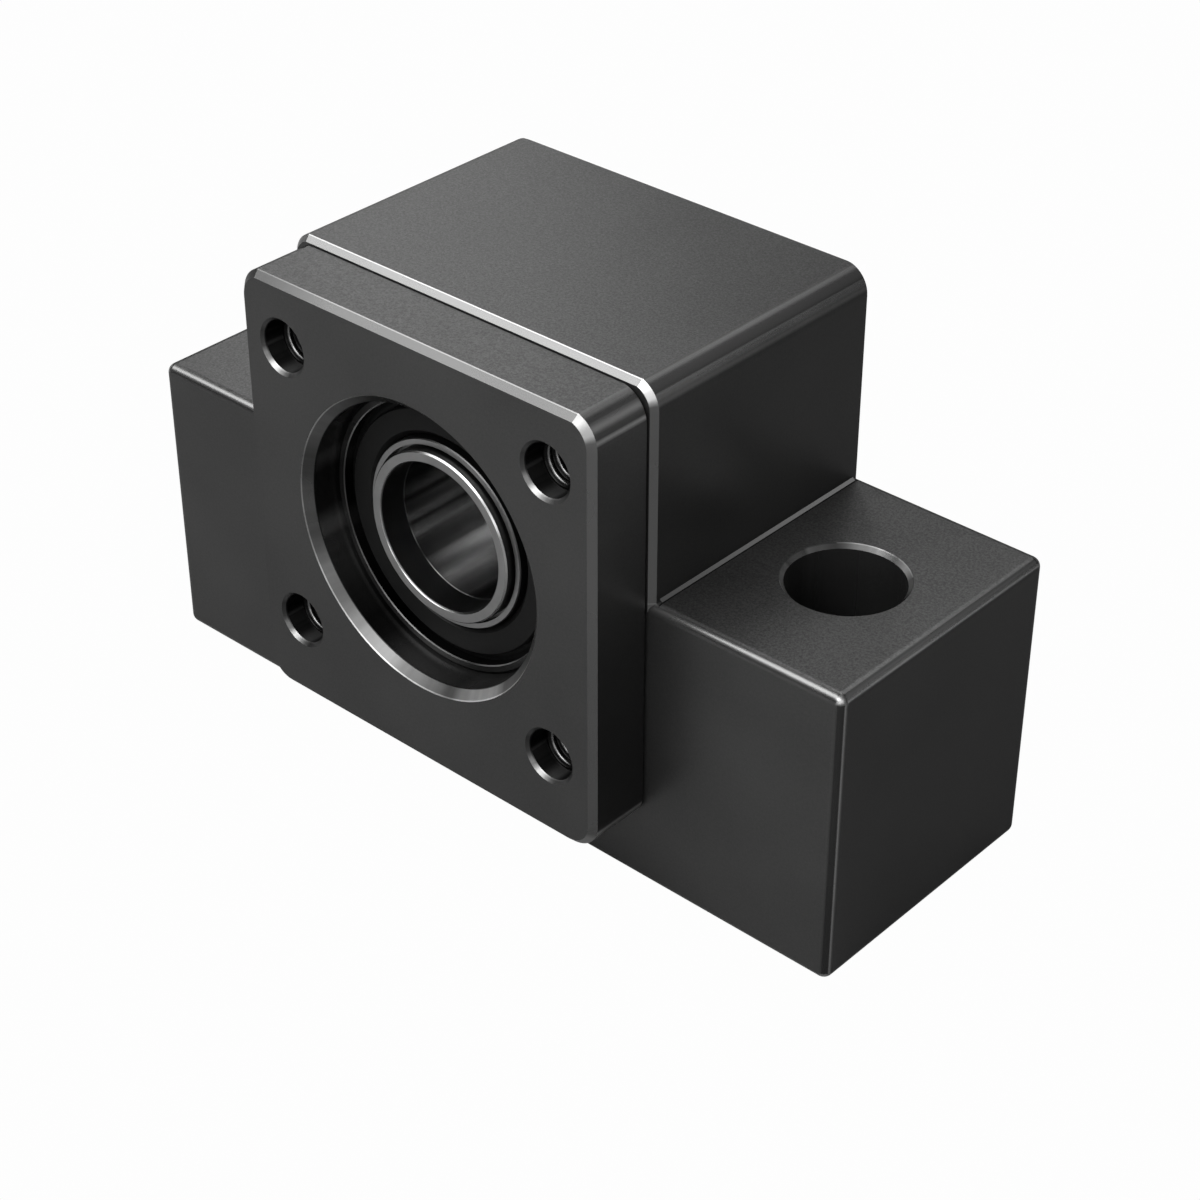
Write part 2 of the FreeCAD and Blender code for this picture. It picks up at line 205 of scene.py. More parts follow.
# a grey tone x one gain for each place of painted highlight and painted shade; the edges are partly lighter
# from wear.
# Ranges hold the two limits between which a mask or tone changes. Angles are in degrees from +X towards +Z,
# and on the wings from outwards towards +Y
blackSteel = {
    "dark": (0.074, 0.074, 0.074, 1.0),
    "light": (0.134, 0.134, 0.133, 1.0),
    "metallic": 0.9,
    "faceRoughness": 0.40,
    "edgeRoughness": 0.27,          # bevels and rounds are rubbed smoother
    "edgeRange": (0.99, 0.90),      # largest component of the normal, from flat faces to edges
    "noLean": 0.15,                 # a component below this counts as none
    "topRange": (0.8, 0.98),        # upward component of the normal, from upright faces to tops
    "wingRange": (33.8, 33.9),      # beyond this x lie the wings' outer edges
    "rearRange": (6.0, 6.1),        # behind this y the housing's bore is narrower
    "frontEnd": 0.5,                # how far back the holes of the front reach
}
surfaceGrain = {                    # each noise: size per millimetre, detail, roughness
    "coarse": (4.6, 3.0, 0.65),
    "fine": (9.0, 2.0, 0.6),
    "clouds": (0.09, 2.0, 0.5),     # slow changes of tone
    "lathe": (9.0, 2.0, 0.6),       # marks round the shaft in the bores
    "gain": 2.5,                    # how much the grain changes the tone on the tops
    "faceShare": 0.20,              # share of that on upright faces
    "edgeShare": 0.2,               # and on bevels, rounds and the walls of holes
    "cloudRange": (0.3, 0.7),
    "cloudTones": (0.36, 0.64),
    "cloudRoughness": (-0.02, 0.02),
    "depth": 0.012,                 # millimetres
    "latheShare": 0.4,
    "bump": 0.5,
}
# long rounds, in painted highlight and shade: "line" and "crest" lie at the top, then "top" and "middle".
# "side" is added from "sideFrom" down, and "foot" is the thin line above the side face
longRounds = {
    "block": {
        "line": -0.45, "crest": 0.95, "top": 0.48, "middle": 0.37,
        "sideFrom": 0.595, "side": 4.2, "foot": 1.7,
    },
    "wing": {
        "line": -0.05, "crest": 0.50, "top": 0.50, "middle": 0.90,
        "sideFrom": 0.65, "side": 7.0, "foot": 0.46,
    },
    "lid": {
        "line": 0.25, "crest": 1.05, "top": 0.42, "middle": 1.55,
        "sideFrom": 0.70, "side": 2.0, "foot": 6.0,
    },
}
blackSteelParts = {
    "housingSteel": {
        "rounds": (longRounds["block"], longRounds["wing"]),
        "tops": (43.0, 25.4),                           # heights above the base: of the block and the wings
        "boreReach": 14.6, "rearReach": 11.25,          # radius of the turned bore, and of its rear end
        "shadedReach": 0.0, "mouth": 0.0,               # only the lid has painted shade in its bore and a painted light line at its bevelled mouth
        "edgeGain": 0.5, "uprightTone": 0.85,           # gain of all edges, partly wear and partly painted highlight, and painted tone of the upright ones
        "sideTones": (0.76, 0.90),                      # painted shade of the side faces at their foot and head
        # painted tone at the left end of the top bevel
        "leftTone": 1.0,
    },
    "lidSteel": {
        "rounds": (longRounds["lid"], longRounds["lid"]),
        "tops": (42.5,),
        "boreReach": 12.3, "rearReach": 12.3,
        "shadedReach": 11.53, "mouth": 12.21,
        "edgeGain": -0.06, "uprightTone": 1.50,
        "sideTones": (0.45, 1.25),
        "leftTone": 0.6,
    },
}


def readSurface(tree, part):
    # what the gains below share: where the point lies, which way its face looks, and masks made from these
    place = millimetres(tree)
    x, y, z = separate(tree, place)
    turned, radius = turnedCoordinate(tree, place)
    normal = separate(tree, addNode(tree, "ShaderNodeTexCoord").outputs["Normal"])
    lean = [mathNode(tree, "ABSOLUTE", component) for component in normal]
    steepest = mathNode(tree, "MAXIMUM", mathNode(tree, "MAXIMUM", lean[0], lean[1]), lean[2])
    onEdge = ramp(tree, steepest, blackSteel["edgeRange"])
    acrossX = mathNode(tree, "ABSOLUTE", x)
    narrowing = ramp(tree, y, blackSteel["rearRange"], (0.0, part["boreReach"] - part["rearReach"]))
    return {
        "place": place, "x": x, "y": y, "z": z, "acrossX": acrossX, "turned": turned, "radius": radius,
        "lean": lean, "steepest": steepest, "onEdge": onEdge,
        "onTop": ramp(tree, normal[2], blackSteel["topRange"], (surfaceGrain["faceShare"], 1.0)),
        "upright": product(tree, onEdge, within(tree, lean[2], blackSteel["noLean"])),
        "onWing": ramp(tree, acrossX, blackSteel["wingRange"]),
        "inFront": within(tree, y, blackSteel["frontEnd"]),
        "inBore": within(tree, mathNode(tree, "ADD", radius, narrowing), part["boreReach"]),
    }


paintedCrestLine = {
    "gain": 0.9,                    # painted highlight: the light line where a top meets its bevel or round
    "width": 0.05,
    "blur": 0.02,
    "turnRange": (0.998, 0.985),    # largest component of the normal, from the top to its edge
    "sideRange": (0.0, 0.03),
}


def crestTone(tree, spot, part):
    # 1 + gain x mask: a painted highlight band under each top, with the round's own share on the edges along
    # the shaft
    crest = 0.0
    for top in part["tops"]:
        below = mathNode(tree, "SUBTRACT", spot["z"], top - shaftHeight - paintedCrestLine["width"] / 2)
        band = within(tree, mathNode(tree, "ABSOLUTE", below), paintedCrestLine["width"] / 2, paintedCrestLine["blur"])
        crest = mathNode(tree, "MAXIMUM", band, crest)
    inner, outer = part["rounds"]
    share = blend(tree, spot["onWing"], inner["line"], outer["line"])
    sideways = mathNode(tree, "SUBTRACT", spot["lean"][0], spot["lean"][1])
    crest = product(tree, crest, ramp(tree, spot["steepest"], paintedCrestLine["turnRange"]),
                    ramp(tree, sideways, paintedCrestLine["sideRange"], (1.0, share)))
    return mathNode(tree, "MULTIPLY_ADD", crest, paintedCrestLine["gain"])


uprightRounds = {
    "lineFrom": (0.84, 0.90),       # sideways component of the normal, where the painted light line begins
    "lineTo": (0.985, 0.96),        # and where it ends
    "tones": (0.30, 2.2),           # painted tone of the round (shade) and of its line (highlight)
}


def uprightTone(tree, spot, part):
    # the part's own painted tone, but on the wings painted shade on the round with one painted highlight line
    # beside the side face
    aside = spot["lean"][0]
    line = product(tree, ramp(tree, aside, uprightRounds["lineFrom"]),
                   ramp(tree, aside, uprightRounds["lineTo"]))
    return blend(tree, spot["onWing"], part["uprightTone"], blend(tree, line, *uprightRounds["tones"]))


alongShaft = {
    "crestRange": (0.985, 0.93),    # upward component of the normal, for the parts of a long round
    "middleRange": (0.82, 0.62),
    "sideTo": 0.42,
    "footFrom": (0.34, 0.24),
    "footTo": (0.07, 0.13),
    "rearRange": (0.0, 12.0),       # painted shade: the rounds grow darker towards the rear
    "rearTone": 0.75,
    "dullReach": 18.7,              # painted tone on the bevel at the block's foot and the lid's crest, up to this x
    "dullHeight": 0.5,
    "dullRange": (-11.0, 11.0),     # painted shade at the front, painted light towards the rear
    "dullTones": (0.6, 1.5),
}


def toneOfRound(tree, up, tones):
    # painted tone: (ramp from top to middle + side) x crest x foot, where up is 1 at the crest and 0 at the
    # side face
    gain = mathNode(tree, "ADD", ramp(tree, up, alongShaft["middleRange"], (tones["top"], tones["middle"])),
                    ramp(tree, up, (tones["sideFrom"], alongShaft["sideTo"]), (0.0, tones["side"])))
    onFoot = product(tree, ramp(tree, up, alongShaft["footFrom"]), ramp(tree, up, alongShaft["footTo"]))
    return product(tree, gain, ramp(tree, up, alongShaft["crestRange"], (tones["crest"], 1.0)),
                   blend(tree, onFoot, 1.0, tones["foot"]))


def longTone(tree, spot, part):
    # the round's painted tone x its painted shade to the rear, and another painted tone on the small bevels
    inner, outer = (toneOfRound(tree, spot["lean"][2], tones) for tones in part["rounds"])
    tone = product(tree, blend(tree, spot["onWing"], inner, outer),
                   ramp(tree, spot["y"], alongShaft["rearRange"], (1.0, alongShaft["rearTone"])))
    fromTop = mathNode(tree, "SUBTRACT", spot["z"], part["tops"][-1] - shaftHeight)
    onPaintedShade = product(tree, within(tree, spot["acrossX"], alongShaft["dullReach"]),
                     within(tree, mathNode(tree, "ABSOLUTE", fromTop), alongShaft["dullHeight"]))
    return blend(tree, onPaintedShade, tone, ramp(tree, spot["y"], alongShaft["dullRange"], alongShaft["dullTones"]))


boreWall = {
    "clearAt": 258,                 # painted light: direction in which the wall of the lid's bore is lightest
    "tones": (0.3675, 0.9975),
    "lipReach": 11.2,               # inside this radius lies the inner step, its wall dark with painted shade
    "lipTone": 0.15,
    "stepRange": (0.2, 0.3),        # component of the normal along the shaft, from walls to steps
    "stepTones": (0.06, 0.6),       # painted tones: floor of the groove, and face of the inner step
    "lineFrom": (0.3, 0.45),        # the step's bevel is a painted light line
    "lineTo": (0.96, 0.9),
    "glowAt": 115,                  # with its painted highlight at its top
    "glowRange": (0.5, 0.95),
    "lineTones": (0.6, 3.0),
}


def wallTone(tree, spot):
    # painted light and shade: walls change with the cosine of the direction round the shaft, steps and the
    # bevel have their own tones
    along = spot["lean"][1]
    onLip = within(tree, spot["radius"], boreWall["lipReach"])
    wall = ramp(tree, towards(tree, spot["x"], spot["z"], boreWall["clearAt"]), (0.0, 1.0), boreWall["tones"])
    wall = blend(tree, onLip, wall, boreWall["lipTone"])
    tone = ramp(tree, along, boreWall["stepRange"], (wall, blend(tree, onLip, *boreWall["stepTones"])))
    onLine = product(tree, onLip, ramp(tree, along, boreWall["lineFrom"]),
                     ramp(tree, along, boreWall["lineTo"]))
    glow = towards(tree, spot["x"], spot["z"], boreWall["glowAt"])
    return blend(tree, onLine, tone, ramp(tree, glow, boreWall["glowRange"], boreWall["lineTones"]))


mouthBevel = {
    "streaks": (5.0, 3.0, 0.6),
    "streakRange": (0.35, 0.65),
    "streakTones": (0.84, 1.20),
    # painted shade and painted highlight in three directions round the bevel
    "darkAt": 120, "darkRange": (0.1, 0.7), "dark": 0.55,
    "dullAt": 219, "dullRange": (0.80, 0.99), "dull": 0.36,
    "glowAt": 300, "glowRange": (0.966, 0.995), "glow": 3.0,
    "lineWidth": 0.03,              # the bevel's inner line is a painted highlight
    "lineBlur": 0.02,
    "lineTone": 3.0,
}


def mouthTone(tree, spot):
    # streaks round the bevel x the painted shade and highlight of its three directions
    streaks = noise(tree, roundTheShaft(tree, spot["place"]), *mouthBevel["streaks"])
    ways = [toneTowards(tree, spot["x"], spot["z"], mouthBevel, name) for name in ("dark", "dull", "glow")]
    return product(tree, ramp(tree, streaks, mouthBevel["streakRange"], mouthBevel["streakTones"]), *ways)


def mouthLine(tree, spot, part):
    # 1 where an edge lies at the radius of the mouth, for its painted highlight line
    fromLine = mathNode(tree, "ABSOLUTE", mathNode(tree, "SUBTRACT", spot["radius"], part["mouth"]))
    onLine = within(tree, fromLine, mouthBevel["lineWidth"], mouthBevel["lineBlur"])
    return product(tree, onLine, spot["onEdge"])


cornerHoles = {
    "wallMargin": 0.12,             # how far outside the hole's radius the painted light and shade of its wall ends
    "clearAt": 280,                 # painted light: direction in which the wall is lightest
    "clearRange": (-0.6, 1.0),
    "clearPower": 2.5,
    "wallTones": (0.0255, 1.615),
    "rimMargin": 0.6,
    "rimRoughness": 0.30,           # the rims are finished less finely than the edges and carry a painted highlight towards the lower left
    "glowAt": 247,                  # and shine towards the lower left
    "sideRange": (0.0, 0.9), "sideTones": (0.36, 0.504),
    "glowRange": (0.92, 0.99), "glow": 2.1,
}


def cornerTones(tree, spot):
    # masks and tones of painted light and shade on the wall and the rim of the nearest corner hole, from the
    # direction round that hole
    aside, above = fromCornerHole(tree, spot["x"], spot["z"])
    fromAxis = distance(tree, aside, above)
    onWall = product(tree, spot["inFront"],
                     within(tree, fromAxis, lidHoles["hole_r_mm"] + cornerHoles["wallMargin"]))
    onRim = product(tree, spot["inFront"], spot["onEdge"],
                    within(tree, fromAxis, lidHoles["hole_r_mm"] + cornerHoles["rimMargin"]))
    clear = ramp(tree, towards(tree, aside, above, cornerHoles["clearAt"]), cornerHoles["clearRange"])
    wall = blend(tree, mathNode(tree, "POWER", clear, cornerHoles["clearPower"]), *cornerHoles["wallTones"])
    side = towards(tree, aside, above, cornerHoles["glowAt"])
    rim = product(tree, ramp(tree, side, cornerHoles["sideRange"], cornerHoles["sideTones"]),
                  toneTowards(tree, aside, above, cornerHoles, "glow"))
    return onWall, wall, onRim, rim


boltHoles = {
    "rimMargin": 0.5,
    # painted shade and painted highlight by the direction round the rim
    "dullAt": 123, "dullRange": (0.80, 0.97), "dull": 0.2,
    "glowAt": 72, "glowRange": (0.88, 0.98), "glow": 2.5,
}


def boltTones(tree, spot):
    # mask and painted tone of the bevelled rim of the nearest bolt hole: the bevel is an edge that isn't
    # upright
    aside = mathNode(tree, "SUBTRACT", spot["acrossX"], baseBolts["spacing_x_mm"] / 2)
    nearHole = within(tree, distance(tree, aside, spot["y"]), baseBolts["hole_r_mm"] + boltHoles["rimMargin"])
    onRim = product(tree, mathNode(tree, "SUBTRACT", spot["onEdge"], spot["upright"]), nearHole)
    return onRim, product(tree, toneTowards(tree, aside, spot["y"], boltHoles, "dull"),
                          toneTowards(tree, aside, spot["y"], boltHoles, "glow"))


sideFaces = {
    "range": (0.95, 0.99),          # sideways component of the normal
    "heights": (-16.0, 8.0),        # above the shaft: painted shade makes the faces darker towards their foot
    "power": 2.7,
}
topBevel = {
    "heights": (15.5, 16.5),
    "fadeRange": (-14.5, -8.0),     # painted shade: the lid's top bevel is less bright at its left end
}
roundedCorners = {
    "range": (0.15, 0.35),          # smallest component of the normal
    "tone": 2.7,                    # painted highlight, the brightest
    "roughness": 0.36,
}


def edgeTones(tree, spot, part, onCorner):
    # 1 + edge gain (partly wear), times the gains of painted light and shade on every kind of edge and on the
    # side faces
    lean = spot["lean"]
    onMouth = product(tree, spot["inBore"], spot["inFront"], spot["onEdge"])
    onLong = product(tree, spot["onEdge"], within(tree, lean[1], blackSteel["noLean"]))
    headward = mathNode(tree, "POWER", ramp(tree, spot["z"], sideFaces["heights"]), sideFaces["power"])
    onTopBevel = product(tree, spot["onEdge"], ramp(tree, spot["z"], topBevel["heights"]))
    gain = mathNode(tree, "MULTIPLY_ADD", spot["onEdge"], part["edgeGain"])
    return product(
        tree, gain,
        blend(tree, onMouth, 1.0, mouthTone(tree, spot)),
        blend(tree, onLong, 1.0, longTone(tree, spot, part)),
        blend(tree, onCorner, 1.0, roundedCorners["tone"]),
        blend(tree, ramp(tree, lean[0], sideFaces["range"]), 1.0, blend(tree, headward, *part["sideTones"])),
        blend(tree, onTopBevel, 1.0, ramp(tree, spot["x"], topBevel["fadeRange"], (part["leftTone"], 1.0))),
        crestTone(tree, spot, part),
        blend(tree, mouthLine(tree, spot, part), 1.0, mouthBevel["lineTone"]),
        blend(tree, spot["upright"], 1.0, uprightTone(tree, spot, part)))


def grainTones(tree, spot, onHoleWall):
    # grey tone from slow clouds and a speckle, and the height of the grain on the tops
    coarse = noise(tree, spot["place"], *surfaceGrain["coarse"])
    fine = noise(tree, spot["place"], *surfaceGrain["fine"])
    clouds = noise(tree, spot["place"], *surfaceGrain["clouds"])
    notFlat = mathNode(tree, "MAXIMUM", spot["onEdge"], mathNode(tree, "MAXIMUM", spot["inBore"], onHoleWall))
    onFlat = mathNode(tree, "SUBTRACT", 1.0, notFlat)
    speckle = mathNode(tree, "SUBTRACT", mathNode(tree, "ADD", coarse, fine), 1.0)
    speckle = product(tree, speckle, spot["onTop"], surfaceGrain["gain"],
                      blend(tree, onFlat, surfaceGrain["edgeShare"], 1.0))
    tone = ramp(tree, clouds, surfaceGrain["cloudRange"], surfaceGrain["cloudTones"])
    return clouds, mathNode(tree, "ADD", tone, speckle), product(tree, coarse, spot["onTop"], onFlat)


def makeBlackSteel(name, part):
    # colour = grey tone x painted light and shade on the edges, bore wall, rims and walls of the corner holes
    material, tree, shader = newMaterial(name)
    spot = readSurface(tree, part)
    lean = spot["lean"]
    flattest = mathNode(tree, "MINIMUM", mathNode(tree, "MINIMUM", lean[0], lean[1]), lean[2])
    onCorner = ramp(tree, flattest, roundedCorners["range"])
    onHoleWall, holeTone, onHoleRim, rimTone = cornerTones(tree, spot)
    onBoltRim, boltTone = boltTones(tree, spot)
    clouds, tone, grainHeight = grainTones(tree, spot, onHoleWall)

    gain = product(
        tree, edgeTones(tree, spot, part, onCorner),
        blend(tree, within(tree, spot["radius"], part["shadedReach"]), 1.0, wallTone(tree, spot)),
        blend(tree, onHoleRim, 1.0, rimTone),
        blend(tree, onBoltRim, 1.0, boltTone),
        blend(tree, onHoleWall, 1.0, holeTone))
    colour = scaleColour(tree, mixColour(tree, tone, blackSteel["dark"], blackSteel["light"]), gain)
    tree.links.new(colour, shader.inputs["Base Color"])
    shader.inputs["Metallic"].default_value = blackSteel["metallic"]

    smooth = mathNode(tree, "MAXIMUM", spot["onEdge"], spot["inBore"])
    roughness = blend(tree, smooth, blackSteel["faceRoughness"], blackSteel["edgeRoughness"])
    roughness = blend(tree, onHoleRim, roughness, cornerHoles["rimRoughness"])
    roughness = blend(tree, onCorner, roughness, roundedCorners["roughness"])
    cloudy = ramp(tree, clouds, surfaceGrain["cloudRange"], surfaceGrain["cloudRoughness"])
    tree.links.new(mathNode(tree, "ADD", roughness, cloudy), shader.inputs["Roughness"])

    # grain on the tops, lathe marks round the shaft in the bores
    lathe = product(tree, noise(tree, spot["turned"], *surfaceGrain["lathe"]), surfaceGrain["latheShare"])
    height = blend(tree, spot["inBore"], grainHeight, lathe)
    bump = bumpNode(tree, height, surfaceGrain["bump"], surfaceGrain["depth"])
    tree.links.new(bump, shader.inputs["Normal"])
    return material


# Steel of the thread turns, with painted highlight and shade

threadSteel = {
    "root": (0.005, 0.005, 0.005, 1.0),
    "crest": (0.21, 0.21, 0.21, 1.0),
    "flank": (1.80, 1.69),          # distances from the hole's axis between which it grows lighter, from painted shade to painted highlight
    "metallic": 0.9,
    "marks": (3.0, 2.0, 0.5),
    "markRange": (0.3, 0.7),
    "roughness": (0.25, 0.31),
}


def makeThreadSteel():
    # painted highlight on the crests and painted shade in the roots
    material, tree, shader = newMaterial("threadSteel")
    place = millimetres(tree)
    x, y, z = separate(tree, place)
    worn = ramp(tree, distance(tree, *fromCornerHole(tree, x, z)), threadSteel["flank"])
    colour = mixColour(tree, worn, threadSteel["root"], threadSteel["crest"])
    tree.links.new(colour, shader.inputs["Base Color"])
    shader.inputs["Metallic"].default_value = threadSteel["metallic"]
    marks = noise(tree, place, *threadSteel["marks"])
    roughness = ramp(tree, marks, threadSteel["markRange"], threadSteel["roughness"])
    tree.links.new(roughness, shader.inputs["Roughness"])
    return material


# Rubber of the seals

sealRubber = {
    "colour": (0.003, 0.003, 0.003, 1.0),
    "worn": (0.006, 0.006, 0.006, 1.0),
    "specks": (2.5, 3.0, 0.6),
    "wornRange": (0.35, 0.7),
    "roughRange": (0.3, 0.7),
    "roughness": (0.44, 0.56),
    "rimRange": (10.2, 10.4),       # outside this radius the ring is duller
    "gloss": (0.22, 0.04),
    "mould": (5.0, 2.0, 0.5),
    "bump": 0.3,
    "depth": 0.006,
}


def makeSealRubber():
    # almost black, with specks that change its tone and roughness
    material, tree, shader = newMaterial("sealRubber")
    place = millimetres(tree)
    specks = noise(tree, place, *sealRubber["specks"])
    worn = ramp(tree, specks, sealRubber["wornRange"])
    colour = mixColour(tree, worn, sealRubber["colour"], sealRubber["worn"])
    tree.links.new(colour, shader.inputs["Base Color"])
    turned, radius = turnedCoordinate(tree, place)
    gloss = ramp(tree, radius, sealRubber["rimRange"], sealRubber["gloss"])
    tree.links.new(gloss, shader.inputs["Specular IOR Level"])
    roughness = ramp(tree, specks, sealRubber["roughRange"], sealRubber["roughness"])
    tree.links.new(roughness, shader.inputs["Roughness"])
    mould = noise(tree, turned, *sealRubber["mould"])
    tree.links.new(bumpNode(tree, mould, sealRubber["bump"], sealRubber["depth"]), shader.inputs["Normal"])
    return material


# Bright steels: the collars are fine turned, the bearing rings ground

brightSteel = {
    "collarSteel": {
        "colour": (0.44, 0.44, 0.44, 1.0), "shade": (0.38, 0.38, 0.38, 1.0), "roughness": 0.38,
        "marks": (12.0, 3.0, 0.7), "depth": 0.003,
    },
    "bearingSteel": {
        "colour": (0.52, 0.52, 0.52, 1.0), "shade": (0.45, 0.45, 0.45, 1.0), "roughness": 0.26,
        "marks": (20.0, 3.0, 0.7), "depth": 0.002,
    },
}
brightFinish = {
    "stains": (0.5, 3.0, 0.6),
    "stainRange": (0.35, 0.7),
    "bevelFrom": (0.15, 0.3),       # component of the normal along the shaft, from walls to bevels
    "bevelTo": (0.97, 0.90),        # and from end faces to bevels
    "polishReach": 7.5,             # bevels are polished inside this radius, and painted dark outside it
    "edgeRoughness": 0.24,
    "shoulderTone": 0.22,
    "noseReach": 6.2,               # painted shade darkens the front collar's outer walls
    "noseEnd": -10.5,
    "noseTone": 0.16,
    "markRange": (0.3, 0.7),
    "markRoughness": (-0.03, 0.03),
    "bump": 0.3,
}
collarBore = {
    "reach": 6.03,                  # inside this radius the ground bore begins
    "colour": (0.80, 0.80, 0.80),
    "roughness": 0.20,
    "streaks": (3.4, 2.0, 0.5),     # soft painted reflection streaks that run along the bore
    "streakRange": (0.36, 0.64),
    "streakTones": (0.14, 1.3),
    "frontRange": (-13.0, -6.0),    # painted shade: it is darker towards its front
    "frontTone": 0.55,
    "reliefReach": 6.12,            # the relief in front of it, darkened by painted shade
    "reliefEnd": -12.96,
    "reliefRoughness": 0.34,
    "stepRange": (0.3, 0.5),        # component of the normal along the shaft
    "reliefTones": (0.17, 0.25),    # painted shade of the relief, and of the narrow face between relief and bore
    "blur": 0.01,
}


def boreColour(tree, place, depth):
    # painted reflection streaks along the bore x the painted shade to its front
    streaks = noise(tree, roundTheShaft(tree, place), *collarBore["streaks"])
    tone = product(tree, ramp(tree, streaks, collarBore["streakRange"], collarBore["streakTones"]),
                   ramp(tree, depth, collarBore["frontRange"], (collarBore["frontTone"], 1.0)))
    return scaleColour(tree, collarBore["colour"], tone)


def brightMasks(tree, radius, depth, facing):
    # where the polished bevels, the painted-dark outer bevels, the painted-dark nose, the bore and its relief
    # lie
    onBevel = product(tree, ramp(tree, facing, brightFinish["bevelFrom"]),
                      ramp(tree, facing, brightFinish["bevelTo"]))
    onEdge = product(tree, onBevel, within(tree, radius, brightFinish["polishReach"]))
    onShoulder = mathNode(tree, "SUBTRACT", onBevel, onEdge)
    outside = mathNode(tree, "SUBTRACT", within(tree, depth, brightFinish["noseEnd"]),
                       within(tree, radius, brightFinish["noseReach"]))
    onNose = product(tree, ramp(tree, facing, brightFinish["bevelFrom"], (1.0, 0.0)), outside)
    inBore = within(tree, radius, collarBore["reach"], collarBore["blur"])
    inRelief = product(tree, within(tree, depth, collarBore["reliefEnd"], collarBore["blur"]),
                       within(tree, radius, collarBore["reliefReach"], collarBore["blur"]))
    return onEdge, onShoulder, onNose, inBore, inRelief


def makeBrightSteel(name, look):
    # colour = stained steel or the bore's colour x painted shade on relief, outer bevels and nose
    material, tree, shader = newMaterial(name)
    place = millimetres(tree)
    turned, radius = turnedCoordinate(tree, place)
    depth = separate(tree, place)[1]
    normal = addNode(tree, "ShaderNodeTexCoord").outputs["Normal"]
    facing = mathNode(tree, "ABSOLUTE", separate(tree, normal)[1])
    onEdge, onShoulder, onNose, inBore, inRelief = brightMasks(tree, radius, depth, facing)

    # stains change the tone a little
    stains = noise(tree, place, *brightFinish["stains"])
    colour = mixColour(tree, ramp(tree, stains, brightFinish["stainRange"]), look["colour"], look["shade"])
    colour = mixColour(tree, inBore, colour, boreColour(tree, place, depth))
    relief = ramp(tree, facing, collarBore["stepRange"], collarBore["reliefTones"])
    gain = product(
        tree, blend(tree, inRelief, 1.0, relief),
        blend(tree, onShoulder, 1.0, brightFinish["shoulderTone"]),
        blend(tree, onNose, 1.0, brightFinish["noseTone"]))
    tree.links.new(scaleColour(tree, colour, gain), shader.inputs["Base Color"])
    shader.inputs["Metallic"].default_value = 1.0

    # fine marks run round the shaft
    marks = noise(tree, turned, *look["marks"])
    roughness = blend(tree, onEdge, look["roughness"], brightFinish["edgeRoughness"])
    roughness = blend(tree, inBore, roughness, collarBore["roughness"])
    roughness = blend(tree, inRelief, roughness, collarBore["reliefRoughness"])
    marked = ramp(tree, marks, brightFinish["markRange"], brightFinish["markRoughness"])
    tree.links.new(mathNode(tree, "ADD", roughness, marked), shader.inputs["Roughness"])
    tree.links.new(bumpNode(tree, marks, brightFinish["bump"], look["depth"]), shader.inputs["Normal"])
    return material


# Moulded plastic of the bearing cages

cagePlastic = {
    "colour": (0.62, 0.56, 0.42, 1.0),
    "shade": (0.52, 0.46, 0.33, 1.0),
    "roughness": 0.42,
    "flow": (0.8, 3.0, 0.6),
    "flowStretch": (1.0, 3.0, 1.0),
    "flowRange": (0.35, 0.7),
    "bump": 0.3,
    "depth": 0.01,
}


def makeCagePlastic():
    # two creams, mixed by noise that is finer along the shaft than across it
    material, tree, shader = newMaterial("cagePlastic")
    flow = noise(tree, millimetres(tree), *cagePlastic["flow"], cagePlastic["flowStretch"])
    shaded = ramp(tree, flow, cagePlastic["flowRange"])
    colour = mixColour(tree, shaded, cagePlastic["colour"], cagePlastic["shade"])
    tree.links.new(colour, shader.inputs["Base Color"])
    shader.inputs["Roughness"].default_value = cagePlastic["roughness"]
    tree.links.new(bumpNode(tree, flow, cagePlastic["bump"], cagePlastic["depth"]), shader.inputs["Normal"])
    return material


housingSteel = makeBlackSteel("housingSteel", blackSteelParts["housingSteel"])
lidSteel = makeBlackSteel("lidSteel", blackSteelParts["lidSteel"])
threadMaterial = makeThreadSteel()
finishes = {
    "black_steel": housingSteel,
    "seal_rubber": makeSealRubber(),
    "collar_steel": makeBrightSteel("collarSteel", brightSteel["collarSteel"]),
    "bearing_steel": makeBrightSteel("bearingSteel", brightSteel["bearingSteel"]),
    "cage_plastic": makeCagePlastic(),
}
for subpart in frame["record"]["subparts"]:
    nodes[subpart["node"]].material_slots[0].material = finishes[subpart["material_slot"]]
nodes["retaining_lid"].material_slots[0].material = lidSteel
print("materials set")


# Thread turns of the four corner holes

thread = {
    "pitch": 0.8,
    "wallRadius": lidHoles["hole_r_mm"],
    "crestRadius": 1.66,
    "rootWidth": 0.70,
    "bedding": 0.10,                # how far the ridge reaches into the wall
    "sectionSteps": 16,
    "stepsPerTurn": 60,
    "leadTurns": 0.25,              # share of a turn over which the ridge rises at each end
    "leadFloor": 0.02,
    "sharpFrom": math.radians(60),  # edges sharper than this aren't smoothed
}


